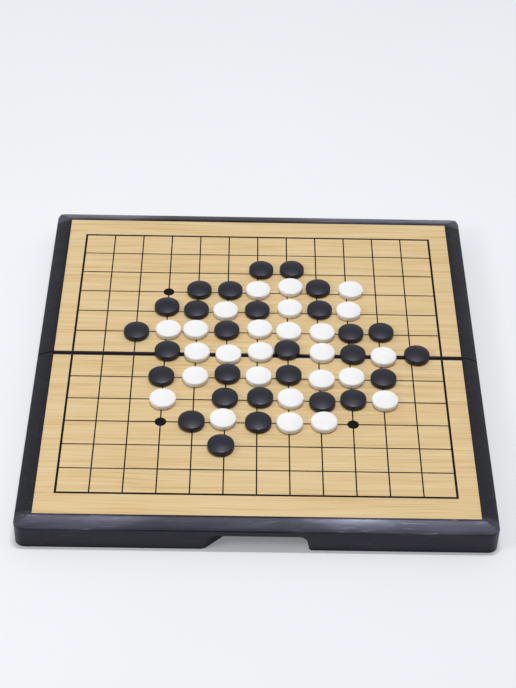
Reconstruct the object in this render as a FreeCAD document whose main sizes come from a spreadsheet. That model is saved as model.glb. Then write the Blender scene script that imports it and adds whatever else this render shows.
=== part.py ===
import FreeCAD, Part
import math
import os

import Sketcher

# Folding magnetic go board with 13 x 13 lines, opened flat on a table, in millimetres.
# +X is to the right, +Y towards the far half and +Z up. The origin lies on the table,
# under the middle of the fold. Both halves are made of the same mouldings: the far half
# is the near half turned by half a turn about Z.

DRIVING_SIZES = (
    # playing grid
    ("cell", 18.0),
    ("line_count", 13),
    ("fold_shift", 1.45),
    ("print_shift", 0.4),
    ("line_width", 0.75),
    ("border_line_width", 1.3),
    ("star_radius", 3.3),
    ("star_steps", 3),
    ("ink", 0.04),
    # case half
    ("half_width", 128.8),
    ("half_depth", 133.4),
    ("board_height", 17.0),
    ("corner_radius", 5.5),
    ("bevel_width", 7.4),
    ("bevel_drop", 2.9),
    ("bevel_crown", 32.0),
    ("edge_round", 0.8),
    ("rim_rise", 0.4),
    ("lip_width", 1.3),
    ("side_lip_width", 1.8),
    ("fold_lip_width", 1.05),
    ("fold_drop", 0.3),
    ("wall", 2.5),
    ("root", 0.4),
    ("rib", 1.6),
    ("deck", 1.7),
    # layers of the playing surface
    ("sheet_thick", 0.4),
    ("steel_thick", 0.5),
    ("sheet_gap", 0.3),
    # fold
    ("seam_gap", 0.7),
    ("pivot_height", 3.0),
    ("link_middle", 104.0),
    ("link_width", 16.0),
    ("link_radius", 2.6),
    ("pin_radius", 1.0),
    ("pin_length", 39.5),
    ("pin_inset", 0.5),
    ("running_gap", 0.05),
    ("rail_depth", 8.0),
    ("rail_height", 7.5),
    # finger notch in the front wall
    ("notch_height", 10.6),
    ("notch_top", 22.6),
    ("notch_side", 27.1),
    ("notch_waist", 27.8),
    ("notch_foot", 29.2),
    ("notch_corner", 4.9),
    ("notch_flare", 2.4),
    ("notch_flare_radius", 2.9),
    ("notch_depth", 15.0),
    ("notch_room", 33.0),
    ("notch_slant_start", 27.4),
    ("notch_slant_end", 17.9),
    ("notch_slant_inset", 0.6),
    ("notch_slant_depth", 9.1),
    # underside
    ("cover_thick", 1.5),
    ("cover_inset", 0.3),
    ("clearance", 0.3),
    ("boss_radius", 3.0),
    ("screw_radius", 1.0),
    ("thread_bite", 0.15),
    ("screw_length", 6.0),
    ("screw_head_radius", 2.0),
    ("screw_head_height", 1.1),
    ("screw_slot_length", 2.4),
    ("screw_slot_width", 0.45),
    ("screw_slot_depth", 0.6),
    ("front_row", 124.0),
    ("fold_row", 11.2),
    ("corner_screw", 118.0),
    ("notch_screw", 44.0),
    ("fold_screw", 70.0),
    ("end_cell_screw", 87.0),
    ("end_cell_middle", 62.0),
    ("closing_magnet_radius", 4.0),
    ("closing_magnet_thick", 3.0),
    ("closing_magnet_middle", 60.0),
    # drawer
    ("drawer_width", 94.5),
    ("drawer_middle", 64.55),
    ("drawer_length", 172.5),
    ("drawer_height", 10.8),
    ("drawer_wall", 1.5),
    ("drawer_floor", 1.2),
    ("drawer_floor_round", 2.0),
    ("drawer_front", 3.0),
    ("drawer_travel", 128.0),
    ("lug_rise", 1.8),
    ("lug_root", 0.5),
    ("lug_length", 3.0),
    ("lug_margin", 2.0),
    ("pull_width", 38.0),
    ("pull_height", 5.6),
    ("pull_depth", 1.9),
    # stones
    ("stone_radius", 7.5),
    ("stone_side", 3.1),
    ("stone_height", 4.5),
    ("stone_shoulder", 0.8),
    ("stone_foot", 1.1),
    ("stone_magnet_radius", 3.5),
    ("stone_magnet_thick", 1.5),
    ("fold_stone_lift", 0.16),
    # how far a cut runs past the face that it goes through
    ("overcut", 1.0),
)

# Stones on the lines, one string per row from the far border to the near one.
# B is a black stone, W a white one.
POSITION = (
    ".............",
    ".............",
    "......BB.....",
    "....BBWWBW...",
    "...BBWBWBW...",
    "..BWWBWWWBB..",
    "...BWWWBWBWB.",
    "...BWBWBWWB..",
    "...W.BBWBBW..",
    "....BWBWW....",
    ".....B.......",
    ".............",
    ".............",
)
FOLD_ROW = 6

# How far each stone stands off its crossing, by (column, row), in mm to the right and back.
SLIPPED = {
    (6, 2): (2.2, 1.9),
    (7, 2): (3.1, 2.5),
    (4, 3): (0.6, 0.2),
    (5, 3): (1.4, 0.3),
    (6, 3): (0.3, 0.6),
    (7, 3): (2.1, 3.7),
    (8, 3): (0.9, 3.2),
    (9, 3): (2.8, 1.9),
    (3, 4): (-0.4, 2.3),
    (4, 4): (-0.6, -0.1),
    (5, 4): (-1.1, -0.7),
    (6, 4): (-0.1, 0.3),
    (7, 4): (1.5, 2.2),
    (8, 4): (1.4, 1.5),
    (9, 4): (0.8, 0.7),
    (2, 5): (0.5, -2.1),
    (3, 5): (1.3, -0.2),
    (4, 5): (-0.5, 0.1),
    (5, 5): (-0.1, 0.1),
    (6, 5): (1.4, 1.4),
    (7, 5): (0.6, -0.4),
    (8, 5): (2.5, -0.9),
    (9, 5): (1.4, -1.0),
    (10, 5): (1.4, 0.2),
    (3, 6): (1.5, 0.8),
    (4, 6): (0.8, -0.3),
    (5, 6): (1.2, -1.7),
    (6, 6): (1.9, 0.8),
    (7, 6): (-0.5, 3.1),
    (8, 6): (2.0, 0.8),
    (9, 6): (1.9, 0.0),
    (10, 6): (1.7, -1.8),
    (11, 6): (3.3, 0.1),
    (3, 7): (-1.0, -1.2),
    (4, 7): (0.4, -1.2),
    (5, 7): (0.9, 1.6),
    (6, 7): (0.9, -0.3),
    (7, 7): (0.2, 1.4),
    (8, 7): (1.1, -2.2),
    (9, 7): (0.4, -0.1),
    (10, 7): (0.8, -0.5),
    (3, 8): (0.6, -1.8),
    (5, 8): (-0.2, -0.2),
    (6, 8): (1.8, 0.6),
    (7, 8): (1.1, -0.1),
    (8, 8): (1.0, -2.3),
    (9, 8): (0.7, -0.1),
    (10, 8): (0.7, -0.6),
    (4, 9): (-0.6, -1.0),
    (5, 9): (-1.0, 0.9),
    (6, 9): (0.8, -1.1),
    (7, 9): (0.4, -1.4),
    (8, 9): (1.7, -0.4),
    (5, 10): (-1.8, -1.2),
}

# Two stones, one of each colour, that are lifted on their own.
LIFTED = {"front_black_stone": (5, 10), "front_white_stone": (7, 9)}

# Places of the cover screws in the near half, as formulas of the sheet's sizes.
SCREW_PLACES = (
    ("-size.corner_screw", "-size.front_row"),
    ("size.corner_screw", "-size.front_row"),
    ("-size.notch_screw", "-size.front_row"),
    ("size.notch_screw", "-size.front_row"),
    ("-size.fold_screw", "-size.fold_row"),
    ("size.fold_screw", "-size.fold_row"),
    ("0", "-size.fold_row"),
    ("-size.end_cell_screw", "-size.end_cell_middle"),
)

# Stiffening ribs under the deck beside the drawer: the places of the cross ribs and long ribs.
FRONT_CELL_RIBS = (-102, -76, 76, 102)
END_CELL_CROSS_RIBS = (-100, -74)
END_CELL_LONG_RIBS = (-88, -36)

doc = FreeCAD.newDocument("folding_go_board")
sheet = doc.addObject("Spreadsheet::Sheet", "size")
for row, (alias, number) in enumerate(DRIVING_SIZES, start=1):
    sheet.set(f"A{row}", alias)
    sheet.set(f"B{row}", str(number))
    sheet.setAlias(f"B{row}", alias)
doc.recompute()

HALF_TURN = FreeCAD.Placement(FreeCAD.Vector(), FreeCAD.Rotation(FreeCAD.Vector(0, 0, 1), 180))
IN_PLACE = FreeCAD.Placement()
ALONG_X = FreeCAD.Placement(FreeCAD.Vector(), FreeCAD.Rotation(FreeCAD.Vector(0, 1, 0), 90))
HALVES = (("near", IN_PLACE), ("far", HALF_TURN))

# Formulas that several pieces share. A high or low face is a height above the table.
SEAM_FACE = "-size.seam_gap / 2"
SHEET_TOP = "size.board_height - size.rim_rise"
SHEET_LOW = f"{SHEET_TOP} - size.sheet_thick"
STEEL_LOW = f"{SHEET_LOW} - size.steel_thick"
DECK_LOW = f"{STEEL_LOW} - size.deck"
COVER_TOP = "size.cover_inset + size.cover_thick"
RECESS_SIDE = "size.half_width - size.bevel_width - size.side_lip_width"
RECESS_FRONT = "size.half_depth - size.bevel_width - size.lip_width"
RECESS_FOLD = "size.seam_gap / 2 + size.fold_lip_width"
SHEET_SIDE = f"{RECESS_SIDE} - size.sheet_gap"
SHEET_FRONT = f"{RECESS_FRONT} - size.sheet_gap"
SHEET_FOLD = f"{RECESS_FOLD} + size.sheet_gap"
PIVOT_Y = "(size.pivot_height + size.seam_gap / 2)"
INNER_SIDE = "size.half_width - size.wall"
INNER_FRONT = "size.half_depth - size.wall"
DRAWER_LOW = f"{COVER_TOP} + size.clearance"
DRAWER_HIGH = f"{DRAWER_LOW} + size.drawer_height"
DRAWER_NEAR = "-size.drawer_middle - size.drawer_width / 2"
DRAWER_FAR = "-size.drawer_middle + size.drawer_width / 2"
DRAWER_REAR = "size.half_width - size.drawer_length"
GUIDE_GAP = "(size.lug_rise + size.clearance)"
NOTCH_BACK = "-size.half_depth + size.notch_depth"
RIB_TOP = f"{DECK_LOW} + size.root"
RIB_HEIGHT = f"{RIB_TOP} - ({COVER_TOP})"
CLOSING_MAGNET_PLACES = (
    ("-size.closing_magnet_middle", "-size.front_row"),
    ("size.closing_magnet_middle", "-size.front_row"),
)
GRID_SIDE = "size.cell * (size.line_count - 1) / 2"
GRID_FRONT = f"({GRID_SIDE} + size.fold_shift)"


def value(formula):
    """The number that a formula of the sheet's sizes comes to."""
    return float(sheet.evalExpression(formula.replace("size.", "")))


def new_body(name, placement=IN_PLACE):
    """An empty body whose label is the node's name."""
    body = doc.addObject("PartDesign::Body", name)
    body.Label = name
    body.Placement = placement
    return body


def add_box(body, name, x, y, z, cut=False):
    """Add a block between (low, high) formulas along each axis, or cut it away."""
    kind = "PartDesign::SubtractiveBox" if cut else "PartDesign::AdditiveBox"
    block = body.newObject(kind, name)
    block.Refine = False
    for side, axis, (low, high) in zip(("Length", "Width", "Height"), "xyz", (x, y, z)):
        block.setExpression(side, f"({high}) - ({low})")
        block.setExpression(f"Placement.Base.{axis}", low)
    return block


def cut_box(body, name, x, y, z):
    """Cut a block away between (low, high) formulas along each axis."""
    return add_box(body, name, x, y, z, cut=True)


def add_rod(body, name, radius, x, y, z, cut=False):
    """Add a cylinder along X between the (low, high) formulas of x, or cut it away."""
    kind = "PartDesign::SubtractiveCylinder" if cut else "PartDesign::AdditiveCylinder"
    rod = body.newObject(kind, name)
    rod.Refine = False
    rod.Placement = ALONG_X
    rod.setExpression("Radius", radius)
    rod.setExpression("Height", f"({x[1]}) - ({x[0]})")
    for axis, formula in zip("xyz", (x[0], y, z)):
        rod.setExpression(f"Placement.Base.{axis}", formula)
    return rod


def new_drawing(body, name, plane, offset):
    """An empty sketch on one of the body's own planes, moved along the plane's normal."""
    drawing = body.newObject("Sketcher::SketchObject", name)
    support = next(part for part in body.Origin.OriginFeatures if part.Role == plane)
    drawing.AttachmentSupport = (support, [""])
    drawing.MapMode = "FlatFace"
    drawing.setExpression("AttachmentOffset.Base.z", offset)
    return drawing


def place_point(drawing, item, end, across, up):
    """Hold one point of a sketch at the formulas across and up."""
    for kind, formula in (("DistanceX", across), ("DistanceY", up)):
        number = drawing.addConstraint(
            Sketcher.Constraint(kind, -1, 1, item, end, value(formula))
        )
        drawing.setExpression(f"Constraints[{number}]", formula)


def hold_radius(drawing, item, radius):
    """Hold the radius of a sketch's arc or circle at a formula."""
    size = Sketcher.Constraint("Radius", item, abs(value(radius)))
    drawing.setExpression(f"Constraints[{drawing.addConstraint(size)}]", f"abs({radius})")


def draw_circles(drawing, centres, radius):
    """Circles of one radius about (across, up) formulas."""
    for across, up in centres:
        centre = FreeCAD.Vector(value(across), value(up), 0)
        circle = Part.Circle(centre, FreeCAD.Vector(0, 0, 1), value(radius))
        item = drawing.addGeometry(circle, False)
        place_point(drawing, item, 3, across, up)
        hold_radius(drawing, item, radius)


def draw_rectangle(drawing, across, up):
    """A rectangle between (low, high) formulas."""
    draw_loop(
        drawing,
        (
            (across[0], up[0], None),
            (across[1], up[0], None),
            (across[1], up[1], None),
            (across[0], up[1], None),
        ),
    )


def draw_loop(drawing, corners):
    """A closed outline through (across, up, radius) corners, counter-clockwise.

    The radius bends the side that starts at its corner, outwards, or inwards with a
    minus sign.
    """
    points = [FreeCAD.Vector(value(across), value(up), 0) for across, up, _ in corners]
    first = drawing.GeometryCount
    count = len(corners)
    ends = []
    for number, (_, _, radius) in enumerate(corners):
        start = points[number]
        stop = points[(number + 1) % count]
        bent_in = radius is not None and value(radius) < 0
        if radius is None:
            drawing.addGeometry(Part.LineSegment(start, stop), False)
        else:
            drawing.addGeometry(arc_between(start, stop, value(radius)), False)
        ends.append((2, 1) if bent_in else (1, 2))
    for number, (across, up, radius) in enumerate(corners):
        following = (number + 1) % count
        joint = (first + number, ends[number][1], first + following, ends[following][0])
        drawing.addConstraint(Sketcher.Constraint("Coincident", *joint))
        place_point(drawing, first + number, ends[number][0], across, up)
        if radius is not None:
            hold_radius(drawing, first + number, radius)


def arc_between(start, stop, radius):
    """The short arc of a given radius from start to stop, its centre on the left if positive."""
    chord = stop - start
    reach = math.sqrt(max(radius**2 - (chord.Length / 2) ** 2, 0))
    left = FreeCAD.Vector(-chord.y, chord.x, 0).normalize()
    centre = (start + stop) / 2 + left * math.copysign(reach, radius)
    first, last = (start, stop) if radius > 0 else (stop, start)
    first_angle = math.atan2(first.y - centre.y, first.x - centre.x)
    last_angle = math.atan2(last.y - centre.y, last.x - centre.x)
    circle = Part.Circle(centre, FreeCAD.Vector(0, 0, 1), abs(radius))
    return Part.ArcOfCircle(circle, first_angle, last_angle)


def extrude(body, name, drawing, length, cut=False):
    """Add, or cut away, a drawing's area along the normal of its plane."""
    kind = "PartDesign::Pocket" if cut else "PartDesign::Pad"
    extrusion = body.newObject(kind, name)
    extrusion.Profile = drawing
    extrusion.Reversed = cut
    extrusion.Refine = False
    extrusion.setExpression("Length", length)
    return extrusion


def rounded_front(side, front, back, radius):
    """Corners of an outline with its two front corners rounded."""
    return (
        (f"-({side}) + {radius}", f"-({front})", None),
        (f"{side} - ({radius})", f"-({front})", radius),
        (side, f"-({front}) + {radius}", None),
        (side, back, None),
        (f"-({side})", back, None),
        (f"-({side})", f"-({front}) + {radius}", radius),
    )


def edges_where(feature, test):
    """Names of the feature's edges whose ends and middle all pass the test."""
    names = []
    for number, edge in enumerate(feature.Shape.Edges, start=1):
        middle = edge.valueAt((edge.FirstParameter + edge.LastParameter) / 2)
        points = [vertex.Point for vertex in edge.Vertexes] + [middle]
        if all(test(point) for point in points):
            names.append(f"Edge{number}")
    return names


def round_edges(body, name, radius, test):
    """Round the edges of the body's last feature that pass the test."""
    doc.recompute()
    base = body.Tip
    fillet = body.newObject("PartDesign::Fillet", name)
    fillet.Base = (base, edges_where(base, test))
    fillet.setExpression("Radius", radius)
    return fillet


def near_to(number, target):
    """Whether a coordinate is the target's, within a hundredth."""
    return abs(number - target) < 0.01


def group_of_copies(name, shape, places, placement=IN_PLACE):
    """One node of separate solids: copies of a shape moved to the given places."""
    copies = []
    for place in places:
        copy = shape.copy()
        copy.translate(FreeCAD.Vector(*place))
        copies.append(copy)
    group = doc.addObject("Part::Feature", name)
    group.Label = name
    group.Shape = Part.makeCompound(copies)
    group.Placement = placement
    return group


def build_frame(name, placement):
    """The moulded half case: rim, deck, walls, ribs, hinge rail, notch and drawer mouth."""
    frame = new_body(name, placement)
    add_box(
        frame,
        "block",
        ("-size.half_width", "size.half_width"),
        ("-size.half_depth", SEAM_FACE),
        ("0", "size.board_height"),
    )
    bevel_rim(frame)
    round_front_corners(frame)
    soften_rim(frame)
    seam = value(SEAM_FACE)
    round_edges(
        frame,
        "fold_edge",
        "size.pivot_height",
        lambda p: near_to(p.z, 0) and near_to(p.y, seam),
    )
    cut_box(
        frame,
        "playing_level",
        (f"-({RECESS_SIDE})", RECESS_SIDE),
        (f"-({RECESS_FRONT})", "size.seam_gap"),
        (SHEET_TOP, "size.board_height + size.rim_rise"),
    )
    cut_box(
        frame,
        "layer_recess",
        (f"-({RECESS_SIDE})", RECESS_SIDE),
        (f"-({RECESS_FRONT})", f"-({RECESS_FOLD})"),
        (STEEL_LOW, "size.board_height"),
    )
    cut_box(
        frame,
        "fold_lip_top",
        (f"-({RECESS_SIDE})", RECESS_SIDE),
        (f"-({RECESS_FOLD}) - size.overcut", "size.seam_gap"),
        (f"{SHEET_TOP} - size.fold_drop", "size.board_height"),
    )
    cut_hollow(frame)
    add_ribs(frame)
    add_bosses(frame)
    add_notch(frame)
    cut_drawer_mouth(frame)
    cut_hinge_seats(frame)
    frame.Tip.Refine = True
    return frame


def bevel_rim(frame):
    """Slope the rim down to the top of the outer walls in a slightly crowned bevel."""
    front = new_drawing(frame, "front_bevel_outline", "YZ_Plane", "-size.half_width - size.overcut")
    draw_bevel(front, "-size.half_depth", 1)
    extrude(frame, "front_bevel", front, "2 * (size.half_width + size.overcut)", cut=True)
    sides = new_drawing(frame, "side_bevel_outlines", "XZ_Plane", "-size.overcut")
    draw_bevel(sides, "-size.half_width", 1)
    draw_bevel(sides, "size.half_width", -1)
    extrude(frame, "side_bevels", sides, "size.half_depth + 2 * size.overcut", cut=True)


def draw_bevel(drawing, edge, inwards):
    """The air above one bevel, which rises from the outer wall at edge; inwards is 1 or -1."""
    inner = f"{edge} + {inwards} * size.bevel_width"
    outer = f"{edge} - {inwards} * size.overcut"
    wall_top = "size.board_height - size.bevel_drop"
    above = "size.board_height + size.overcut"
    corners = [(outer, wall_top), (edge, wall_top), (inner, "size.board_height")]
    corners += [(inner, above), (outer, above)]
    if inwards < 0:
        corners.reverse()
    crown_start = (edge, wall_top) if inwards > 0 else (inner, "size.board_height")
    draw_loop(
        drawing,
        [(*corner, "-size.bevel_crown" if corner == crown_start else None) for corner in corners],
    )


def round_front_corners(frame):
    """Round the two front corners, from the table up through the mitred bevel."""
    side = "size.half_width"
    front = "size.half_depth"
    start = f"-({front}) + size.corner_radius"
    across = f"{side} - size.corner_radius"
    outer_front = f"-({front}) - size.overcut"
    outer_side = f"{side} + size.overcut"
    corners = new_drawing(frame, "corner_outlines", "XY_Plane", "-size.overcut")
    draw_loop(
        corners,
        (
            (across, outer_front, None),
            (outer_side, outer_front, None),
            (outer_side, start, None),
            (side, start, "-size.corner_radius"),
            (across, f"-({front})", None),
        ),
    )
    draw_loop(
        corners,
        (
            (f"-({outer_side})", outer_front, None),
            (f"-({across})", outer_front, None),
            (f"-({across})", f"-({front})", "-size.corner_radius"),
            (f"-({side})", start, None),
            (f"-({outer_side})", start, None),
        ),
    )
    extrude(frame, "corners", corners, "size.board_height + 2 * size.overcut", cut=True)


def soften_rim(frame):
    """Round the edge where the bevel meets the outer walls."""
    wall_top = value("size.board_height - size.bevel_drop")
    seam = value(SEAM_FACE)
    side = value("size.half_width")
    reach = value("size.edge_round")
    round_edges(
        frame,
        "rim_edge",
        "size.edge_round",
        lambda p: (near_to(p.z, wall_top) or wall_top < p.z < wall_top + reach)
        and not (near_to(p.y, seam) and abs(p.x) < side - reach),
    )


def cut_hollow(frame):
    """Open the underside: the main room, and a slimmer one over the hinge rail."""
    room = new_drawing(frame, "room_outline", "XY_Plane", "-size.overcut")
    corner = "size.corner_radius - size.wall"
    draw_loop(room, rounded_front(INNER_SIDE, INNER_FRONT, "-size.rail_depth", corner))
    extrude(frame, "room", room, f"{DECK_LOW} + size.overcut", cut=True)
    cut_box(
        frame,
        "over_rail",
        (f"-({INNER_SIDE})", INNER_SIDE),
        ("-size.rail_depth - size.wall", f"{SEAM_FACE} - size.wall"),
        ("size.rail_height", DECK_LOW),
    )


def add_ribs(frame):
    """The drawer's guides and end stop, and the ribs of the cells beside it."""
    side = (f"-({INNER_SIDE}) - size.root", f"{INNER_SIDE} + size.root")
    near_guide = f"{DRAWER_NEAR} - {GUIDE_GAP}"
    far_guide = f"{DRAWER_FAR} + {GUIDE_GAP}"
    end_stop = f"{DRAWER_REAR} - size.clearance"
    guides = new_drawing(frame, "guide_outlines", "XY_Plane", COVER_TOP)
    draw_rectangle(guides, side, (f"{near_guide} - size.rib", near_guide))
    draw_rectangle(guides, side, (far_guide, f"{far_guide} + size.rib"))
    extrude(frame, "guides", guides, RIB_HEIGHT)
    cross_ribs = new_drawing(frame, "cross_rib_outlines", "XY_Plane", COVER_TOP)
    for place in END_CELL_CROSS_RIBS:
        width = (f"{place} - size.rib / 2", f"{place} + size.rib / 2")
        draw_rectangle(cross_ribs, width, (near_guide, far_guide))
    draw_rectangle(cross_ribs, (f"{end_stop} - size.rib", end_stop), (near_guide, far_guide))
    for place in FRONT_CELL_RIBS:
        width = (f"{place} - size.rib / 2", f"{place} + size.rib / 2")
        front = f"-({INNER_FRONT}) - size.root"
        draw_rectangle(cross_ribs, width, (front, f"{near_guide} - size.rib"))
    extrude(frame, "cross_ribs", cross_ribs, RIB_HEIGHT)
    long_ribs = new_drawing(frame, "long_rib_outlines", "XY_Plane", COVER_TOP)
    for place in END_CELL_LONG_RIBS:
        depth = (f"{place} - size.rib / 2", f"{place} + size.rib / 2")
        draw_rectangle(long_ribs, (side[0], end_stop), depth)
    extrude(frame, "long_ribs", long_ribs, RIB_HEIGHT)


def add_bosses(frame):
    """Bosses with pilot holes for the cover screws, and cups for the closing magnets."""
    bosses = new_drawing(frame, "boss_outlines", "XY_Plane", COVER_TOP)
    draw_circles(bosses, SCREW_PLACES, "size.boss_radius")
    draw_circles(bosses, CLOSING_MAGNET_PLACES, "size.closing_magnet_radius + size.rib")
    extrude(frame, "bosses", bosses, RIB_HEIGHT)
    pilots = new_drawing(frame, "pilot_outlines", "XY_Plane", f"{COVER_TOP} - size.overcut")
    draw_circles(pilots, SCREW_PLACES, "size.screw_radius - size.thread_bite")
    extrude(frame, "pilots", pilots, "size.screw_length + size.overcut", cut=True)
    cups = new_drawing(frame, "cup_outlines", "XY_Plane", f"{COVER_TOP} - size.overcut")
    draw_circles(cups, CLOSING_MAGNET_PLACES, "size.closing_magnet_radius + size.running_gap")
    depth = "size.closing_magnet_thick + 2 * size.running_gap + size.overcut"
    extrude(frame, "cups", cups, depth, cut=True)


def add_notch(frame):
    """The finger notch in the front wall, its own walls behind it, and its slanted left end."""
    back = f"{NOTCH_BACK} + size.rib"
    room = ("-size.notch_room", "size.notch_room")
    add_box(frame, "notch_walls", room, (f"-({INNER_FRONT}) - size.root", back), ("0", RIB_TOP))
    shoulder = "size.notch_height - size.notch_corner + size.clearance"
    outline = new_drawing(frame, "notch_outline", "XZ_Plane", f"-({NOTCH_BACK})")
    draw_loop(
        outline,
        (
            ("-size.notch_foot", "-size.overcut", None),
            ("size.notch_foot", "-size.overcut", None),
            ("size.notch_foot", "0", "-size.notch_flare_radius"),
            ("size.notch_waist", "size.notch_flare", None),
            ("size.notch_side", shoulder, "size.notch_corner"),
            ("size.notch_top", "size.notch_height", None),
            ("-size.notch_top", "size.notch_height", "size.notch_corner"),
            ("-size.notch_side", shoulder, None),
            ("-size.notch_waist", "size.notch_flare", "-size.notch_flare_radius"),
            ("-size.notch_foot", "0", None),
        ),
    )
    extrude(frame, "notch", outline, "size.notch_depth + size.overcut", cut=True)
    slant_front = "-size.half_depth + size.notch_slant_inset"
    slant = new_drawing(frame, "slant_outline", "XY_Plane", "0")
    draw_loop(
        slant,
        (
            ("-size.notch_slant_start", slant_front, None),
            ("-size.notch_slant_end", "-size.half_depth + size.notch_slant_depth", None),
            ("-size.notch_slant_end", f"{NOTCH_BACK} + size.root", None),
            ("-size.notch_room", f"{NOTCH_BACK} + size.root", None),
            ("-size.notch_room", slant_front, None),
        ),
    )
    extrude(frame, "notch_slant", slant, "size.notch_height + size.root")


def cut_drawer_mouth(frame):
    """The opening in the right wall that the drawer slides through."""
    cut_box(
        frame,
        "drawer_mouth",
        (f"{INNER_SIDE} - size.root", "size.half_width + size.overcut"),
        (f"{DRAWER_NEAR} - size.clearance", f"{DRAWER_FAR} + size.clearance"),
        (COVER_TOP, f"{DRAWER_HIGH} + size.clearance"),
    )


def cut_hinge_seats(frame):
    """Seats of the two links at the fold, and the bores of their pins."""
    reach = "size.link_radius + size.clearance"
    half_link = "size.link_width / 2 + size.clearance"
    for side, middle in (("left", "-size.link_middle"), ("right", "size.link_middle")):
        cut_box(
            frame,
            f"{side}_link_seat",
            (f"{middle} - ({half_link})", f"{middle} + {half_link}"),
            (f"-{PIVOT_Y} - ({reach})", "size.seam_gap"),
            ("-size.overcut", f"size.pivot_height + {reach}"),
        )
    bore_end = "size.half_width - size.pin_length - size.overcut"
    for side, span in (
        ("left", ("-size.half_width - size.overcut", f"-({bore_end})")),
        ("right", (bore_end, "size.half_width + size.overcut")),
    ):
        bore = "size.pin_radius + size.running_gap"
        add_rod(frame, f"{side}_pin_bore", bore, span, f"-{PIVOT_Y}", "size.pivot_height", cut=True)


def build_cover(name, placement):
    """The plate screwed into the underside of a half."""
    cover = new_body(name, placement)
    outline = new_drawing(cover, "outline", "XY_Plane", "size.cover_inset")
    side = f"{INNER_SIDE} - size.clearance"
    front = f"{INNER_FRONT} - size.clearance"
    back = "-size.rail_depth - size.clearance"
    corner = "size.corner_radius - size.wall - size.clearance"
    draw_loop(outline, rounded_front(side, front, back, corner))
    extrude(cover, "plate", outline, "size.cover_thick")
    cut_box(
        cover,
        "notch_clearance",
        ("-size.notch_room - size.clearance", "size.notch_room + size.clearance"),
        ("-size.half_depth", f"{NOTCH_BACK} + size.rib + size.clearance"),
        ("0", "size.board_height"),
    )
    holes = new_drawing(cover, "hole_outlines", "XY_Plane", "size.cover_inset - size.overcut")
    draw_circles(holes, SCREW_PLACES, "size.screw_radius + size.clearance / 2")
    extrude(cover, "screw_holes", holes, "size.cover_thick + 2 * size.overcut", cut=True)
    for x, y in SCREW_PLACES:
        sink = cover.newObject("PartDesign::SubtractiveCone", "countersink")
        sink.Refine = False
        sink.setExpression("Radius1", "size.screw_head_radius + size.clearance / 2")
        sink.setExpression("Radius2", "size.screw_radius + size.clearance / 2")
        sink.setExpression("Height", "size.screw_head_height")
        sink.setExpression("Placement.Base.x", x)
        sink.setExpression("Placement.Base.y", y)
        sink.setExpression("Placement.Base.z", "size.cover_inset")
    return cover


def build_screws(name, placement):
    """The countersunk screws of a cover, with crossed slots in their heads."""
    head_radius = value("size.screw_head_radius")
    head_height = value("size.screw_head_height")
    radius = value("size.screw_radius")
    head = Part.makeCone(head_radius, radius, head_height)
    shank = Part.makeCylinder(radius, value("size.screw_length"))
    length = value("size.screw_slot_length")
    width = value("size.screw_slot_width")
    depth = value("size.screw_slot_depth")
    slot = Part.makeBox(length, width, depth, FreeCAD.Vector(-length / 2, -width / 2, 0))
    cross_slot = Part.makeBox(width, length, depth, FreeCAD.Vector(-width / 2, -length / 2, 0))
    screw = head.fuse(shank).cut(slot.fuse(cross_slot))
    foot = value("size.cover_inset + size.running_gap")
    places = [(value(x), value(y), foot) for x, y in SCREW_PLACES]
    return group_of_copies(name, screw, places, placement)


def build_closing_magnets(name, placement):
    """Two disc magnets beside the notch that hold the folded case shut."""
    disc = Part.makeCylinder(
        value("size.closing_magnet_radius"), value("size.closing_magnet_thick")
    )
    foot = value(f"{COVER_TOP} + size.running_gap")
    places = [(value(x), value(y), foot) for x, y in CLOSING_MAGNET_PLACES]
    return group_of_copies(name, disc, places, placement)


def build_layer(name, placement, low, high):
    """A flat layer of the playing surface between two heights."""
    layer = new_body(name, placement)
    add_box(
        layer,
        "layer",
        (f"-({SHEET_SIDE})", SHEET_SIDE),
        (f"-({SHEET_FRONT})", f"-({SHEET_FOLD})"),
        (low, high),
    )
    return layer


def build_grid(name, placement):
    """The printed lines and star points of one half, as a thin film of ink.

    Both halves are printed a little to the left of the case's middle.
    """
    grid = new_body(name, placement)
    grid.setExpression("Placement.Base.x", "-size.print_shift")
    reach = int(value("(size.line_count - 1) / 2"))
    columns = new_drawing(grid, "column_outlines", "XY_Plane", SHEET_TOP)
    for column in range(-reach, reach + 1):
        width = "size.border_line_width" if abs(column) == reach else "size.line_width"
        middle = f"{column} * size.cell"
        across = (f"{middle} - {width} / 2", f"{middle} + {width} / 2")
        draw_rectangle(columns, across, (f"-{GRID_FRONT}", f"-({SHEET_FOLD})"))
    rows = new_drawing(grid, "row_outlines", "XY_Plane", SHEET_TOP)
    for row in range(1, reach + 1):
        width = "size.border_line_width" if row == reach else "size.line_width"
        middle = f"-({row} * size.cell + size.fold_shift)"
        half_border = "size.border_line_width / 2"
        across = (f"-({GRID_SIDE}) - {half_border}", f"{GRID_SIDE} + {half_border}")
        draw_rectangle(rows, across, (f"{middle} - {width} / 2", f"{middle} + {width} / 2"))
    stars = new_drawing(grid, "star_outlines", "XY_Plane", SHEET_TOP)
    star_side = "size.cell * size.star_steps"
    star_row = f"-({star_side} + size.fold_shift)"
    draw_circles(stars, ((f"-{star_side}", star_row), (star_side, star_row)), "size.star_radius")
    half_star = "sqrt(size.star_radius * size.star_radius - fold * fold)".replace(
        "fold", f"({SHEET_FOLD})"
    )
    draw_loop(
        stars,
        (
            (f"-{half_star}", f"-({SHEET_FOLD})", "size.star_radius"),
            (half_star, f"-({SHEET_FOLD})", None),
        ),
    )
    extrude(grid, "row_lines", rows, "size.ink")
    extrude(grid, "column_lines", columns, "size.ink")
    extrude(grid, "stars", stars, "size.ink")
    return grid


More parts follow.
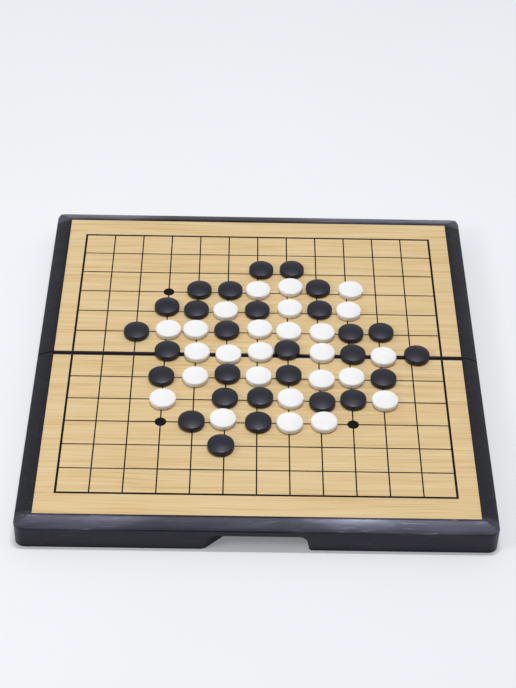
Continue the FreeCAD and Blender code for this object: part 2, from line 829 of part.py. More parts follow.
def build_drawer(name, placement):
    """The stone tray that slides out to the right of its half."""
    drawer = new_body(name, placement)
    add_box(
        drawer,
        "block",
        (DRAWER_REAR, "size.half_width"),
        (DRAWER_NEAR, DRAWER_FAR),
        (DRAWER_LOW, DRAWER_HIGH),
    )
    tray_low = f"{DRAWER_LOW} + size.drawer_floor"
    cut_box(
        drawer,
        "tray",
        (f"{DRAWER_REAR} + size.drawer_wall", "size.half_width - size.drawer_front"),
        (f"{DRAWER_NEAR} + size.drawer_wall", f"{DRAWER_FAR} - size.drawer_wall"),
        (tray_low, f"{DRAWER_HIGH} + size.overcut"),
    )
    floor = value(tray_low)
    round_edges(
        drawer, "tray_floor_edges", "size.drawer_floor_round", lambda p: near_to(p.z, floor)
    )
    lug_front = f"{INNER_SIDE} - size.drawer_travel - size.clearance"
    for side, low, high in (
        ("near", f"{DRAWER_NEAR} - size.lug_rise", f"{DRAWER_NEAR} + size.lug_root"),
        ("far", f"{DRAWER_FAR} - size.lug_root", f"{DRAWER_FAR} + size.lug_rise"),
    ):
        add_box(
            drawer,
            f"{side}_stop_lug",
            (f"{lug_front} - size.lug_length", lug_front),
            (low, high),
            (f"{DRAWER_LOW} + size.lug_margin", f"{DRAWER_HIGH} - size.lug_margin"),
        )
    cut_pull(drawer)
    return drawer


def cut_pull(drawer):
    """The shallow finger slot in the drawer's front, with round ends."""
    start = "size.half_width - size.pull_depth"
    outline = new_drawing(drawer, "pull_outline", "YZ_Plane", start)
    middle = f"{DRAWER_LOW} + size.drawer_height / 2"
    end = "size.pull_height / 2"
    low = f"{middle} - {end}"
    high = f"{middle} + {end}"
    left = f"-size.drawer_middle - size.pull_width / 2 + {end}"
    right = f"-size.drawer_middle + size.pull_width / 2 - {end}"
    draw_loop(
        outline,
        (
            (left, low, None),
            (right, low, end),
            (f"{right} + {end}", middle, end),
            (right, high, None),
            (left, high, end),
            (f"{left} - {end}", middle, end),
        ),
    )
    extrude(drawer, "pull", outline, "size.pull_depth + size.overcut", cut=True)


def build_hinge_link(name, middle):
    """One link of the fold: a short bar with a pin through each end."""
    link = new_body(name)
    low = "size.pivot_height - size.link_radius"
    high = "size.pivot_height + size.link_radius"
    tip = f"{PIVOT_Y} + size.link_radius"
    outline = new_drawing(link, "bar_outline", "YZ_Plane", f"{middle} - size.link_width / 2")
    draw_loop(
        outline,
        (
            (f"-{PIVOT_Y}", low, None),
            (PIVOT_Y, low, "size.link_radius"),
            (tip, "size.pivot_height", "size.link_radius"),
            (PIVOT_Y, high, None),
            (f"-{PIVOT_Y}", high, "size.link_radius"),
            (f"-({tip})", "size.pivot_height", "size.link_radius"),
        ),
    )
    extrude(link, "bar", outline, "size.link_width")
    for side, y in (("near", f"-{PIVOT_Y}"), ("far", PIVOT_Y)):
        span = (f"{middle} - size.link_width", f"{middle} + size.link_width")
        hole = "size.pin_radius - size.running_gap / 2"
        add_rod(link, f"{side}_hole", hole, span, y, "size.pivot_height", cut=True)
    return link


def build_pins(name, y):
    """The two steel pins of one half, pushed in from the side walls."""
    rods = []
    start = "size.half_width - size.pin_inset"
    for side, foot in (("left", f"-({start})"), ("right", f"{start} - size.pin_length")):
        rod = doc.addObject("Part::Cylinder", f"{name}_{side}")
        rod.Placement = ALONG_X
        rod.setExpression("Radius", "size.pin_radius")
        rod.setExpression("Height", "size.pin_length")
        rod.setExpression("Placement.Base.x", foot)
        rod.setExpression("Placement.Base.y", y)
        rod.setExpression("Placement.Base.z", "size.pivot_height")
        rods.append(rod)
    pins = doc.addObject("Part::Compound", name)
    pins.Label = name
    pins.Links = rods
    return pins


def build_stone_pattern():
    """One stone standing on the origin: flat foot, short side, low dome, magnet pocket."""
    stone = new_body("stone_pattern")
    rise = "(size.stone_height - size.stone_side)"
    dome = f"(size.stone_radius * size.stone_radius + {rise} * {rise}) / (2 * {rise})"
    outline = new_drawing(stone, "stone_outline", "XZ_Plane", "0")
    draw_loop(
        outline,
        (
            ("0", "0", None),
            ("size.stone_radius", "0", None),
            ("size.stone_radius", "size.stone_side", dome),
            ("0", "size.stone_height", None),
        ),
    )
    turned = stone.newObject("PartDesign::Revolution", "turned")
    turned.Profile = outline
    turned.ReferenceAxis = (outline, ["V_Axis"])
    turned.Angle = 360
    side = value("size.stone_side")
    round_edges(stone, "shoulder", "size.stone_shoulder", lambda p: near_to(p.z, side))
    round_edges(stone, "foot_edge", "size.stone_foot", lambda p: near_to(p.z, 0))
    pocket = new_drawing(stone, "pocket_outline", "XY_Plane", "-size.overcut")
    draw_circles(pocket, (("0", "0"),), "size.stone_magnet_radius + size.running_gap")
    depth = "size.stone_magnet_thick + 2 * size.running_gap + size.overcut"
    extrude(stone, "magnet_pocket", pocket, depth, cut=True)
    return stone


def stone_place(column, row):
    """Where the stone of a crossing stands."""
    right, back = SLIPPED[(column, row)]
    steps = FOLD_ROW - row
    middle = (value("size.line_count") - 1) / 2
    x = (column - middle) * value("size.cell") - value("size.print_shift") + right
    y = steps * value("size.cell") + back
    z = value(f"{SHEET_TOP} + size.ink")
    if steps == 0:
        z += value("size.fold_stone_lift")
    else:
        y += math.copysign(value("size.fold_shift"), steps)
    return (x, y, z)


def build_stones(stone):
    """The stones on the lines, by half and colour, and their magnets."""
    magnet = Part.makeCylinder(
        value("size.stone_magnet_radius"), value("size.stone_magnet_thick")
    )
    groups = {}
    for row, line in enumerate(POSITION):
        for column, mark in enumerate(line):
            if mark == ".":
                continue
            half = "far" if row < FOLD_ROW else "near"
            colour = "black" if mark == "B" else "white"
            name = f"{half}_{colour}_stones"
            for lifted, crossing in LIFTED.items():
                if crossing == (column, row):
                    name = lifted
            groups.setdefault(name, []).append(stone_place(column, row))
    nodes = []
    for name, places in groups.items():
        nodes.append(group_of_copies(name, stone.Shape, places))
        magnets = f"{name.removesuffix('s')}_magnet" + ("s" if name.endswith("s") else "")
        nodes.append(group_of_copies(magnets, magnet, places))
    return nodes


def check_document(nodes):
    """Stop if any object failed or any node's shape is empty or broken."""
    for item in doc.Objects:
        states = set(item.State)
        if states & {"Invalid", "Error"}:
            raise RuntimeError(f"{item.Name} ({item.TypeId}) is {item.State}")
    for node in nodes:
        if node.Shape.isNull() or not node.Shape.isValid() or not node.Shape.Solids:
            raise RuntimeError(f"{node.Label} has no valid solid")


def main():
    nodes = []
    for half, placement in HALVES:
        nodes.append(build_frame(f"{half}_frame", placement))
        nodes.append(build_cover(f"{half}_bottom_cover", placement))
        nodes.append(build_layer(f"{half}_steel_plate", placement, STEEL_LOW, SHEET_LOW))
        nodes.append(build_layer(f"{half}_board_sheet", placement, SHEET_LOW, SHEET_TOP))
        nodes.append(build_grid(f"{half}_grid_lines", placement))
        nodes.append(build_drawer(f"{half}_drawer", placement))
        nodes.append(build_screws(f"{half}_cover_screws", placement))
        nodes.append(build_closing_magnets(f"{half}_closing_magnets", placement))
    nodes.append(build_hinge_link("left_hinge_link", "-size.link_middle"))
    nodes.append(build_hinge_link("right_hinge_link", "size.link_middle"))
    nodes.append(build_pins("near_hinge_pins", f"-{PIVOT_Y}"))
    nodes.append(build_pins("far_hinge_pins", PIVOT_Y))
    stone = build_stone_pattern()
    doc.recompute()
    nodes.extend(build_stones(stone))
    doc.recompute()
    check_document(nodes)
    os.makedirs("parts", exist_ok=True)
    for node in nodes:
        node.Shape.exportStep(os.path.join("parts", f"{node.Label}.step"))
        print(f"{node.Label:28s} {len(node.Shape.Solids):3d} solids  {node.Shape.Volume:10.1f} mm3")


main()
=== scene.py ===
import math

import bmesh
import bpy
from mathutils import Matrix, Vector


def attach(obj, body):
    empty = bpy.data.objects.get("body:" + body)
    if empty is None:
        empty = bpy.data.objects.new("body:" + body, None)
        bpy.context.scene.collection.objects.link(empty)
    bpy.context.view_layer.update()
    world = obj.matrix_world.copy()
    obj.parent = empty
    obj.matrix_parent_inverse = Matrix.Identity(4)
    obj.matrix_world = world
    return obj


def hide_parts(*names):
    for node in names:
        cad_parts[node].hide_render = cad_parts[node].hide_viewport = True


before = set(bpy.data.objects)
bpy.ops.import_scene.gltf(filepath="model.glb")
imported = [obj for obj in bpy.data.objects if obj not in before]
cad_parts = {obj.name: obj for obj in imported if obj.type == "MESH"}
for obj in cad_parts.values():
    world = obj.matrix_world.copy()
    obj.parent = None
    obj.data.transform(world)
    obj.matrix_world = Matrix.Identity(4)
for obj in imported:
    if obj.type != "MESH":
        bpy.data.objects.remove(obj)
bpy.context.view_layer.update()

MM = 0.001

# ---------------------------------------------------------------- shader nodes


def linear(colour):
    """The linear RGBA of an sRGB colour written as hex."""
    channels = []
    for place in (1, 3, 5):
        coded = int(colour[place:place + 2], 16) / 255
        channels.append(coded / 12.92 if coded <= 0.04045 else ((coded + 0.055) / 1.055) ** 2.4)
    return (*channels, 1.0)


def add_node(tree, kind, inputs=None, stops=None, output=0, **settings):
    """Add a node with its settings, inputs and ramp stops, and give the output asked for.

    An input is named or numbered, and is either a value or the socket that feeds it.
    """
    made = tree.nodes.new(f"ShaderNode{kind}")
    for name, setting in settings.items():
        setattr(made, name, setting)
    if stops:
        marks = made.color_ramp.elements
        for place, _ in stops[1:-1]:
            marks.new(place)
        for mark, (place, colour) in zip(marks, stops):
            mark.position = place
            mark.color = linear(colour)
    for socket, given in (inputs or {}).items():
        if isinstance(given, bpy.types.NodeSocket):
            tree.links.new(given, made.inputs[socket])
        else:
            made.inputs[socket].default_value = given
    return made.outputs[output]


def new_finish(name, colour, roughness, **constants):
    """A material with its plain values set, its shader, and its places in millimetres.

    The places are the piece's own, so that a pattern moves with it.
    """
    finish = bpy.data.materials.new(name)
    finish.use_nodes = True
    finish.diffuse_color = linear(colour)
    tree = finish.node_tree
    shader = tree.nodes["Principled BSDF"]
    shader.inputs["Base Color"].default_value = linear(colour)
    shader.inputs["Roughness"].default_value = roughness
    for socket, number in constants.items():
        shader.inputs[socket.replace("_", " ")].default_value = number
    metres = add_node(tree, "TexCoord", output="Object")
    places = add_node(
        tree, "VectorMath", {0: metres, 1: (1 / MM, 1 / MM, 1 / MM)}, operation="MULTIPLY"
    )
    return finish, tree, shader, places


# ---------------------------------------------------------------- finishes

# Where a pale sheen of reflected light is painted onto the case, in mm: beyond a reach to either
# side of a middle line, on the bevels of the walls that lie along the fold. Each pair is where the
# painted sheen starts and is full.
SHEEN_MIDDLE = -20.0
SHEEN_REACH = (34.0, 66.0)
LONG_WALL = (122.0, 125.0)
BEVEL_FOOT = (13.7, 14.3)
# How much roughness the painted-sheen zone and greasy smudges take off.
SHEEN_ZONE_POLISH = 0.08
SMUDGE_POLISH = 0.12


def spark_eroded_black_abs(name, colour, worn, roughness, smudges):
    """Black ABS moulded against a spark-eroded steel tool.

    The eroded tool leaves a fine even grain that breaks reflections up into a soft sheen.
    Fingers leave greasy smudges, which are smoother and a shade lighter, dust settles in
    pale specks, and rubbing leaves short pale scuffs along the case. On the two long bevels,
    towards their ends, a paler bluish colour is painted as a sheen of reflected light and the
    surface is made smoother, and the scuffs are densest there.
    """
    finish, tree, shader, places = new_finish(
        name,
        colour,
        roughness,
        IOR=1.5,
        Specular_IOR_Level=0.42,
        Specular_Tint=linear("#E0E1FC"),
    )
    # The eroded grain is about 0.1 mm; it is drawn at 0.5 mm so that it shows.
    grain = add_node(tree, "TexNoise", {"Vector": places, "Scale": 1 / 0.5, "Detail": 1.0})
    # A smudge is a fingertip's wipe, 38 mm long and 9 mm wide.
    smudge_size = add_node(tree, "Mapping", {"Vector": places, "Scale": (1 / 38, 1 / 9, 1 / 9)})
    smudge_noise = add_node(
        tree, "TexNoise", {"Vector": smudge_size, "Scale": 1.0, "Detail": 4.0, "Distortion": 0.6}
    )
    smudged = add_node(tree, "MapRange", {0: smudge_noise, 1: 0.46, 2: 0.72, 4: smudges})
    # Towards their ends the two long bevels are smoother, and a paler bluish colour is painted
    # there as a sheen of reflected light.
    along = add_node(tree, "SeparateXYZ", {0: places}, output="X")
    across = add_node(tree, "SeparateXYZ", {0: places}, output="Y")
    height = add_node(tree, "SeparateXYZ", {0: places}, output="Z")
    off_middle = add_node(tree, "Math", {0: along, 1: SHEEN_MIDDLE}, operation="SUBTRACT")
    from_middle = add_node(tree, "Math", {0: off_middle}, operation="ABSOLUTE")
    from_fold = add_node(tree, "Math", {0: across}, operation="ABSOLUTE")
    sheen_along_bevel = add_node(tree, "MapRange", {0: from_middle, 1: SHEEN_REACH[0], 2: SHEEN_REACH[1]})
    on_long_wall = add_node(tree, "MapRange", {0: from_fold, 1: LONG_WALL[0], 2: LONG_WALL[1]})
    on_bevel = add_node(tree, "MapRange", {0: height, 1: BEVEL_FOOT[0], 2: BEVEL_FOOT[1]})
    sheen_on_long_wall = add_node(tree, "Math", {0: sheen_along_bevel, 1: on_long_wall}, operation="MULTIPLY")
    painted_sheen_zone = add_node(tree, "Math", {0: sheen_on_long_wall, 1: on_bevel}, operation="MULTIPLY")
    sheen_breakup = add_node(tree, "MapRange", {0: smudge_noise, 1: 0.35, 2: 0.65, 3: 0.35, 4: 1.0})
    painted_sheen_amount = add_node(tree, "Math", {0: painted_sheen_zone, 1: sheen_breakup}, operation="MULTIPLY")
    smoothed = add_node(tree, "Math", {0: painted_sheen_zone, 1: -SHEEN_ZONE_POLISH}, operation="MULTIPLY")
    # A scuff is some 14 mm long and 0.8 mm wide.
    scuff_size = add_node(tree, "Mapping", {"Vector": places, "Scale": (1 / 14, 1 / 0.8, 1 / 0.8)})
    scuff_noise = add_node(
        tree, "TexNoise", {"Vector": scuff_size, "Scale": 1.0, "Detail": 3.0, "Distortion": 0.3}
    )
    scuff_marks = add_node(tree, "MapRange", {0: scuff_noise, 1: 0.61, 2: 0.68})
    # Scuffs are denser in the painted-sheen zone.
    scuff_share = add_node(tree, "MapRange", {0: painted_sheen_zone, 3: 0.12, 4: 0.7})
    scuffed = add_node(tree, "Math", {0: scuff_marks, 1: scuff_share}, operation="MULTIPLY")
    # Dust specks are about 0.4 mm across and lie some 9 mm apart.
    specks = add_node(tree, "TexVoronoi", {"Vector": places, "Scale": 1 / 9}, output="Distance")
    dusty = add_node(tree, "MapRange", {0: specks, 1: 0.018, 2: 0.034, 3: 0.35, 4: 0.0})
    greased = add_node(
        tree, "Mix", {0: smudged, 6: linear(colour), 7: linear(worn)}, output=2, data_type="RGBA"
    )
    # The paler bluish colour here is a painted sheen of reflected light, broken up by the smudge
    # noise.
    sheen_painted_colour = add_node(
        tree, "Mix", {0: painted_sheen_amount, 6: greased, 7: linear("#474754")}, output=2, data_type="RGBA"
    )
    rubbed = add_node(
        tree, "Mix", {0: scuffed, 6: sheen_painted_colour, 7: linear("#777789")}, output=2, data_type="RGBA"
    )
    dusted = add_node(
        tree, "Mix", {0: dusty, 6: rubbed, 7: linear("#9C9CA6")}, output=2, data_type="RGBA"
    )
    shine = add_node(tree, "MapRange", {0: smudged, 3: roughness, 4: roughness - SMUDGE_POLISH})
    rough = add_node(tree, "Math", {0: shine, 1: smoothed}, operation="ADD")
    raised = add_node(tree, "Bump", {"Strength": 0.5, "Distance": 0.012 * MM, "Height": grain})
    tree.links.new(dusted, shader.inputs["Base Color"])
    tree.links.new(rough, shader.inputs["Roughness"])
    tree.links.new(raised, shader.inputs["Normal"])
    return finish


def laminated_wood_print():
    """Paper printed with a straight wood grain, under a matt laminate.

    The grain runs along the fold in long thin streaks about a millimetre apart, gathered
    into faint wider bands, some of them pink. The laminate shows only a faint even sheen.
    """
    finish, tree, shader, places = new_finish(
        "laminated_wood_print", "#DCC696", 0.5, IOR=1.49, Specular_IOR_Level=0.35
    )
    # The fibres wander sideways by about a millimetre over some 70 mm.
    wander_size = add_node(tree, "Mapping", {"Vector": places, "Scale": (1 / 70, 1 / 26, 1 / 26)})
    wander = add_node(tree, "TexNoise", {"Vector": wander_size, "Scale": 1.0, "Detail": 1.0})
    sideways = add_node(tree, "MapRange", {0: wander, 1: 0.3, 2: 0.7, 3: -1.2, 4: 1.2})
    shift = add_node(tree, "CombineXYZ", {1: sideways})
    fibres = add_node(tree, "VectorMath", {0: places, 1: shift}, operation="ADD")
    streak_size = add_node(tree, "Mapping", {"Vector": fibres, "Scale": (1 / 42, 1 / 0.8, 1 / 42)})
    streaks = add_node(tree, "TexNoise", {"Vector": streak_size, "Scale": 1.0, "Detail": 2.0})
    band_size = add_node(tree, "Mapping", {"Vector": fibres, "Scale": (1 / 95, 1 / 4.5, 1 / 95)})
    bands = add_node(tree, "TexNoise", {"Vector": band_size, "Scale": 1.0, "Detail": 1.0})
    figure = add_node(tree, "Math", {0: bands, 1: 0.35, 2: streaks}, operation="MULTIPLY_ADD")
    depth = add_node(tree, "MapRange", {0: figure, 1: 0.42, 2: 0.93})
    tone = add_node(
        tree,
        "ValToRGB",
        {0: depth},
        stops=(
            (0.0, "#C7A771"),
            (0.28, "#D4B681"),
            (0.50, "#DABF8C"),
            (0.75, "#DDC494"),
            (1.0, "#E4CDA0"),
        ),
    )
    flush_size = add_node(tree, "Mapping", {"Vector": fibres, "Scale": (1 / 60, 1 / 2.8, 1 / 60)})
    flush_noise = add_node(tree, "TexNoise", {"Vector": flush_size, "Scale": 1.0, "Detail": 1.0})
    flushed = add_node(tree, "MapRange", {0: flush_noise, 1: 0.50, 2: 0.70, 4: 0.4})
    print_colour = add_node(
        tree, "Mix", {0: flushed, 6: tone, 7: linear("#DDBB8C")}, output=2, data_type="RGBA"
    )
    sheen_noise = add_node(tree, "TexNoise", {"Vector": places, "Scale": 1 / 22, "Detail": 2.0})
    rough = add_node(tree, "MapRange", {0: sheen_noise, 1: 0.3, 2: 0.7, 3: 0.46, 4: 0.56})
    raised = add_node(tree, "Bump", {"Strength": 0.3, "Distance": 0.004 * MM, "Height": streaks})
    tree.links.new(print_colour, shader.inputs["Base Color"])
    tree.links.new(rough, shader.inputs["Roughness"])
    tree.links.new(raised, shader.inputs["Normal"])
    return finish


def screen_printed_ink():
    """Dark brown screen ink on the laminate: dense, matt, a shade uneven along each line."""
    finish, tree, shader, places = new_finish(
        "screen_printed_line_ink", "#080604", 0.62, IOR=1.45, Specular_IOR_Level=0.16
    )
    patches = add_node(tree, "TexNoise", {"Vector": places, "Scale": 1 / 7, "Detail": 3.0})
    thin = add_node(tree, "MapRange", {0: patches, 1: 0.35, 2: 0.7})
    ink = add_node(
        tree,
        "Mix",
        {0: thin, 6: linear("#070504"), 7: linear("#0F0A07")},
        output=2,
        data_type="RGBA",
    )
    rough = add_node(tree, "MapRange", {0: thin, 3: 0.55, 4: 0.7})
    # The mesh of the screen is about 0.1 mm; it is drawn at 0.5 mm.
    weave = add_node(tree, "TexNoise", {"Vector": places, "Scale": 1 / 0.5, "Detail": 1.0})
    raised = add_node(tree, "Bump", {"Strength": 0.4, "Distance": 0.004 * MM, "Height": weave})
    tree.links.new(ink, shader.inputs["Base Color"])
    tree.links.new(rough, shader.inputs["Roughness"])
    tree.links.new(raised, shader.inputs["Normal"])
    return finish


def tumbled_plastic(name, colour, cloud, roughness, **constants):
    """Moulded plastic stones, tumbled smooth.

    Tumbling leaves a soft broad shine, with faint rub marks and a little cloudiness.
    """
    finish, tree, shader, places = new_finish(name, colour, roughness, IOR=1.5, **constants)
    cloud_noise = add_node(tree, "TexNoise", {"Vector": places, "Scale": 1 / 9, "Detail": 3.0})
    cloudy = add_node(tree, "MapRange", {0: cloud_noise, 1: 0.35, 2: 0.7})
    tone = add_node(
        tree, "Mix", {0: cloudy, 6: linear(colour), 7: linear(cloud)}, output=2, data_type="RGBA"
    )
    rub_size = add_node(tree, "Mapping", {"Vector": places, "Scale": (1 / 5, 1 / 1.2, 1 / 3)})
    rubs = add_node(
        tree, "TexNoise", {"Vector": rub_size, "Scale": 1.0, "Detail": 4.0, "Distortion": 1.2}
    )
    rough = add_node(
        tree,
        "MapRange",
        {0: rubs, 1: 0.35, 2: 0.7, 3: roughness - 0.03, 4: roughness + 0.05},
    )
    waves = add_node(tree, "TexNoise", {"Vector": places, "Scale": 1 / 2.2, "Detail": 1.0})
    raised = add_node(tree, "Bump", {"Strength": 0.4, "Distance": 0.004 * MM, "Height": waves})
    tree.links.new(tone, shader.inputs["Base Color"])
    tree.links.new(rough, shader.inputs["Roughness"])
    tree.links.new(raised, shader.inputs["Normal"])
    return finish


def worked_metal(name, colour, roughness, mark_size, spread):
    """Bare or plated metal, with the fine marks that rolling, drawing or plating leaves.

    The marks turn a sharp reflection into a streaked or cloudy one.
    """
    finish, tree, shader, places = new_finish(name, colour, roughness, Metallic=1.0)
    stretch = tuple(1 / size for size in mark_size)
    marks_at = add_node(tree, "Mapping", {"Vector": places, "Scale": stretch})
    marks = add_node(tree, "TexNoise", {"Vector": marks_at, "Scale": 1.0, "Detail": 3.0})
    rough = add_node(
        tree,
        "MapRange",
        {0: marks, 1: 0.3, 2: 0.7, 3: roughness - spread, 4: roughness + spread},
    )
    raised = add_node(tree, "Bump", {"Strength": 0.4, "Distance": 0.004 * MM, "Height": marks})
    tree.links.new(rough, shader.inputs["Roughness"])
    tree.links.new(raised, shader.inputs["Normal"])
    return finish


def polished_black_acetal():
    """Black acetal moulded in a polished tool: dark and waxy, with faint flow marks."""
    finish, tree, shader, places = new_finish("polished_black_acetal", "#101012", 0.36, IOR=1.48)
    flow_size = add_node(tree, "Mapping", {"Vector": places, "Scale": (1 / 6, 1 / 2, 1 / 2)})
    flow = add_node(tree, "TexNoise", {"Vector": flow_size, "Scale": 1.0, "Detail": 3.0})
    marked = add_node(tree, "MapRange", {0: flow, 1: 0.35, 2: 0.7})
    tone = add_node(
        tree,
        "Mix",
        {0: marked, 6: linear("#101012"), 7: linear("#1B1B1F")},
        output=2,
        data_type="RGBA",
    )
    rough = add_node(tree, "MapRange", {0: flow, 1: 0.3, 2: 0.7, 3: 0.32, 4: 0.42})
    raised = add_node(tree, "Bump", {"Strength": 0.4, "Distance": 0.008 * MM, "Height": flow})
    tree.links.new(tone, shader.inputs["Base Color"])
    tree.links.new(rough, shader.inputs["Roughness"])
    tree.links.new(raised, shader.inputs["Normal"])
    return finish


case_abs = spark_eroded_black_abs("spark_eroded_case_abs", "#08080A", "#111116", 0.46, 1.0)
cover_abs = spark_eroded_black_abs("coarse_cover_abs", "#17171A", "#1E1E22", 0.5, 0.5)
drawer_abs = spark_eroded_black_abs("spark_eroded_drawer_abs", "#121215", "#1B1B20", 0.36, 0.7)
wood_print = laminated_wood_print()
line_ink = screen_printed_ink()
black_stone_finish = tumbled_plastic(
    "tumbled_black_plastic",
    "#0E0E14",
    "#13131A",
    0.47,
    Specular_Tint=linear("#E8E8FF"),
    Coat_Weight=0.03,
    Coat_Roughness=0.15,
)
white_stone_finish = tumbled_plastic(
    "tumbled_white_plastic",
    "#F1F1EF",
    "#EFEFED",
    0.5,
    Subsurface_Weight=0.5,
    Subsurface_Radius=(1.0, 1.0, 1.0),
    Subsurface_Scale=2.0 * MM,
)
sheet_steel = worked_metal("cold_rolled_sheet_steel", "#A9ABAE", 0.34, (24.0, 0.5, 24.0), 0.06)
nickel = worked_metal("nickel_plated_magnet", "#C2BDB2", 0.22, (1.2, 1.2, 1.2), 0.04)
black_zinc = worked_metal("black_zinc_screw", "#3A3A3D", 0.4, (0.5, 0.5, 0.5), 0.06)
drawn_wire = worked_metal("drawn_steel_wire", "#B4B5B8", 0.26, (9.0, 0.3, 0.3), 0.06)
acetal = polished_black_acetal()

NODE_FINISHES = {
    "frame": case_abs,
    "bottom_cover": cover_abs,
    "steel_plate": sheet_steel,
    "board_sheet": wood_print,
    "grid_lines": line_ink,
    "drawer": drawer_abs,
    "cover_screws": black_zinc,
    "closing_magnets": nickel,
    "stone_magnets": nickel,
    "stone_magnet": nickel,
    "hinge_pins": drawn_wire,
    "hinge_link": acetal,
    "black_stones": black_stone_finish,
    "black_stone": black_stone_finish,
    "white_stones": white_stone_finish,
    "white_stone": white_stone_finish,
}

for node_name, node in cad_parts.items():
    ending = max((end for end in NODE_FINISHES if node_name.endswith(end)), key=len)
    for place in node.material_slots:
        place.link = "OBJECT"
        place.material = NODE_FINISHES[ending]

# ---------------------------------------------------------------- stones

# A stone's sizes in mm, the turn in degrees that makes an edge, and the steps of its curves.
STONE_RADIUS = 7.5
STONE_HEIGHT = 4.5
STONE_SIDE = 3.1
SHOULDER = 0.8
FOOT = 1.1
POCKET_RADIUS = 3.55
POCKET_DEPTH = 1.6
TOP_BAND = 0.2
SHARP_TURN = 50
TURN_STEPS = 72
FOOT_STEPS = 8
SHOULDER_STEPS = 12
DOME_STEPS = 14


def stone_profile():
    """The stone's outline in mm, from the pocket's middle round to the top of the dome."""
    rise = STONE_HEIGHT - STONE_SIDE
    dome = (STONE_RADIUS**2 + rise**2) / (2 * rise)
    dome_low = STONE_HEIGHT - dome
    # The shoulder's arc touches the side and the dome from inside.
    inner = STONE_RADIUS - SHOULDER
    shoulder_up = dome_low + math.sqrt((dome - SHOULDER) ** 2 - inner**2)
    touch = math.atan2(shoulder_up - dome_low, inner)
    top = math.pi / 2
    points = [(0.0, POCKET_DEPTH), (POCKET_RADIUS, POCKET_DEPTH), (POCKET_RADIUS, 0.0)]
    for step in range(FOOT_STEPS + 1):
        angle = -top + top * step / FOOT_STEPS
        points.append(
            (STONE_RADIUS - FOOT + FOOT * math.cos(angle), FOOT + FOOT * math.sin(angle))
        )
    for step in range(SHOULDER_STEPS + 1):
        angle = touch * step / SHOULDER_STEPS
        points.append(
            (inner + SHOULDER * math.cos(angle), shoulder_up + SHOULDER * math.sin(angle))
        )
    for step in range(1, DOME_STEPS + 1):
        angle = touch + (top - touch) * step / DOME_STEPS
        points.append((max(dome * math.cos(angle), 0.0), dome_low + dome * math.sin(angle)))
    return points


def stone_feet(node_name):
    """Where each stone of a node stands: under the highest point of each of its solids.

    A solid's highest point is in the band of heights just below the node's top.
    """
    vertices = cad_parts[node_name].data.vertices
    corners = sorted((vertex.co.copy() for vertex in vertices), key=lambda corner: -corner.z)
    high = corners[0].z - TOP_BAND * MM
    tops = []
    for corner in corners:
        if corner.z < high:
            break
        if all((corner - top).xy.length > STONE_RADIUS * MM for top in tops):
            tops.append(corner)
    return [top - Vector((0, 0, STONE_HEIGHT * MM)) for top in tops]


def turned_stones(name, feet, finish):
    """One piece of turned stones, standing at the given feet."""
    form = bmesh.new()
    profile = stone_profile()
    for foot in feet:
        rings = []
        for radius, height in profile:
            steps = TURN_STEPS if radius > 0 else 1
            ring = []
            for step in range(steps):
                angle = math.tau * step / steps
                around = Vector((math.cos(angle) * radius, math.sin(angle) * radius, height))
                ring.append(form.verts.new(foot + around * MM))
            rings.append(ring)
        for lower, upper in zip(rings, rings[1:]):
            for step in range(TURN_STEPS):
                following = (step + 1) % TURN_STEPS
                corners = [lower[step % len(lower)], lower[following % len(lower)]]
                corners += [upper[following % len(upper)], upper[step % len(upper)]]
                form.faces.new(list(dict.fromkeys(corners)))
    bmesh.ops.recalc_face_normals(form, faces=form.faces)
    mesh = bpy.data.meshes.new(name)
    form.to_mesh(mesh)
    form.free()
    mesh.materials.append(finish)
    mesh.shade_smooth()
    mesh.set_sharp_from_angle(angle=math.radians(SHARP_TURN))
    piece = bpy.data.objects.new(name, mesh)
    bpy.context.scene.collection.objects.link(piece)
    return piece


STONE_GROUPS = (
    ("near_black_stones", "near_half", "black_stone", black_stone_finish),
    ("near_white_stones", "near_half", "white_stone", white_stone_finish),
    ("far_black_stones", "far_half", "black_stone", black_stone_finish),
    ("far_white_stones", "far_half", "white_stone", white_stone_finish),
    ("front_black_stone", "front_black_stone", "black_stone", black_stone_finish),
    ("front_white_stone", "front_white_stone", "white_stone", white_stone_finish),
)

for group, body, slot_name, stone_finish in STONE_GROUPS:
    stones = turned_stones(f"turned_{group}", stone_feet(group), stone_finish)
    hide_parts(group)
    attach(stones, body)

# ---------------------------------------------------------------- floor, light and camera


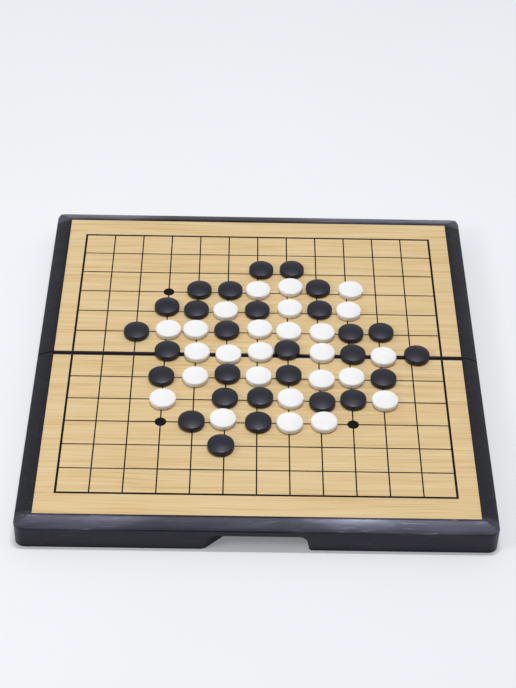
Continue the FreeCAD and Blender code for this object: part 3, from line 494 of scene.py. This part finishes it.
def build_floor():
    """A wide plain pale floor under the board, with a matt painted face."""
    finish, tree, shader, places = new_finish(
        "matt_painted_floor", "#EFF0F2", 0.85, Specular_IOR_Level=0.1
    )
    clouds = add_node(tree, "TexNoise", {"Vector": places, "Scale": 1 / 160, "Detail": 2.0})
    cloudy = add_node(tree, "MapRange", {0: clouds, 1: 0.3, 2: 0.7})
    paint = add_node(
        tree,
        "Mix",
        {0: cloudy, 6: linear("#EEEFF1"), 7: linear("#F0F1F4")},
        output=2,
        data_type="RGBA",
    )
    tree.links.new(paint, shader.inputs["Base Color"])
    # Where the floor is seen or mirrored it glows a little, which keeps its shadows soft.
    seen = add_node(tree, "LightPath", output="Is Camera Ray")
    mirrored = add_node(tree, "LightPath", output="Is Glossy Ray")
    through = add_node(tree, "LightPath", output="Is Transmission Ray")
    either = add_node(tree, "Math", {0: seen, 1: mirrored}, operation="MAXIMUM")
    any_of_them = add_node(tree, "Math", {0: either, 1: through}, operation="MAXIMUM")
    share = add_node(tree, "Math", {0: any_of_them, 1: FLOOR_GLOW}, operation="MULTIPLY")
    glow = add_node(tree, "Emission", {0: linear("#EFF1F4"), 1: 1.0})
    both = add_node(tree, "MixShader", {0: share, 1: shader.outputs[0], 2: glow})
    tree.links.new(both, tree.nodes["Material Output"].inputs["Surface"])
    mesh = bpy.data.meshes.new("studio_floor")
    corners = [(-FLOOR_REACH, -FLOOR_REACH, 0), (FLOOR_REACH, -FLOOR_REACH, 0)]
    corners += [(FLOOR_REACH, FLOOR_REACH, 0), (-FLOOR_REACH, FLOOR_REACH, 0)]
    mesh.from_pydata(corners, [], [(0, 1, 2, 3)])
    mesh.materials.append(finish)
    floor = bpy.data.objects.new("studio_floor", mesh)
    bpy.context.scene.collection.objects.link(floor)


def light_room():
    """The room: bright round the horizon and dim above it, and darker in front of the board."""
    world = bpy.data.worlds.new("pale_room")
    bpy.context.scene.world = world
    world.use_nodes = True
    tree = world.node_tree
    heading = add_node(tree, "TexCoord", output="Generated")
    rise = add_node(tree, "SeparateXYZ", {0: heading}, output="Z")
    backwards = add_node(tree, "SeparateXYZ", {0: heading}, output="Y")
    behind = add_node(tree, "MapRange", {0: backwards, 1: -0.45, 2: 0.1})
    back = add_node(tree, "ValToRGB", {0: rise}, stops=BACK_TONES)
    front = add_node(tree, "ValToRGB", {0: rise}, stops=FRONT_TONES)
    room = add_node(tree, "Mix", {0: behind, 6: front, 7: back}, output=2, data_type="RGBA")
    tree.links.new(room, tree.nodes["Background"].inputs["Color"])


def add_softbox(name, place, aim, width, depth, power):
    """A white softbox lamp at a place, turned towards a point."""
    lamp = bpy.data.lights.new(name, "AREA")
    lamp.shape = "RECTANGLE"
    lamp.size = width
    lamp.size_y = depth
    lamp.energy = power
    box = bpy.data.objects.new(name, lamp)
    bpy.context.scene.collection.objects.link(box)
    box.location = place
    box.rotation_euler = (Vector(aim) - Vector(place)).to_track_quat("-Z", "Y").to_euler()


def add_camera(place, heading, tilt, roll, lens):
    """The camera, with its heading, downward tilt and roll in degrees."""
    heading, tilt, roll = (math.radians(angle) for angle in (heading, tilt, roll))
    level = Vector((math.sin(heading), math.cos(heading), 0))
    forward = level * math.cos(tilt) - Vector((0, 0, math.sin(tilt)))
    level_right = forward.cross(Vector((0, 0, 1))).normalized()
    level_up = level_right.cross(forward)
    right = level_right * math.cos(roll) + level_up * math.sin(roll)
    up = right.cross(forward)
    optics = bpy.data.cameras.new("camera")
    optics.sensor_width = 36.0
    optics.lens = lens
    optics.clip_start = 0.01
    camera = bpy.data.objects.new("camera", optics)
    bpy.context.scene.collection.objects.link(camera)
    turn = Matrix((right, up, -forward)).transposed()
    camera.matrix_world = Matrix.Translation(place) @ turn.to_4x4()
    bpy.context.scene.camera = camera


# The floor reaches this many metres from the board's middle.
FLOOR_REACH = 6.0
FLOOR_GLOW = 0.22
# The room's tones from the horizon, 0, to straight above, 1.
BACK_TONES = (
    (0.0, "#FFFFFF"),
    (0.2, "#F4F5F8"),
    (0.42, "#B6B7BB"),
    (1.0, "#BABBC1"),
)
FRONT_TONES = (
    (0.0, "#3E3E44"),
    (0.4, "#4C4C52"),
    (0.75, "#86868C"),
    (0.9, "#BCBCC4"),
    (1.0, "#BABBC1"),
)

build_floor()
light_room()
add_softbox("overhead_strip", (0.06, 0.07, 1.5), (0.06, 0.07, 0.0), 0.4, 0.06, 11.9)
add_softbox("front_left_lamp", (-0.85, -0.45, 0.75), (0.0, 0.0, 0.0), 0.3, 0.3, 2.8)
add_camera((-0.00934, -0.69807, 0.67082), heading=0.7595, tilt=42.7375, roll=1.393, lens=85.56)
bpy.context.scene.view_settings.view_transform = "Standard"
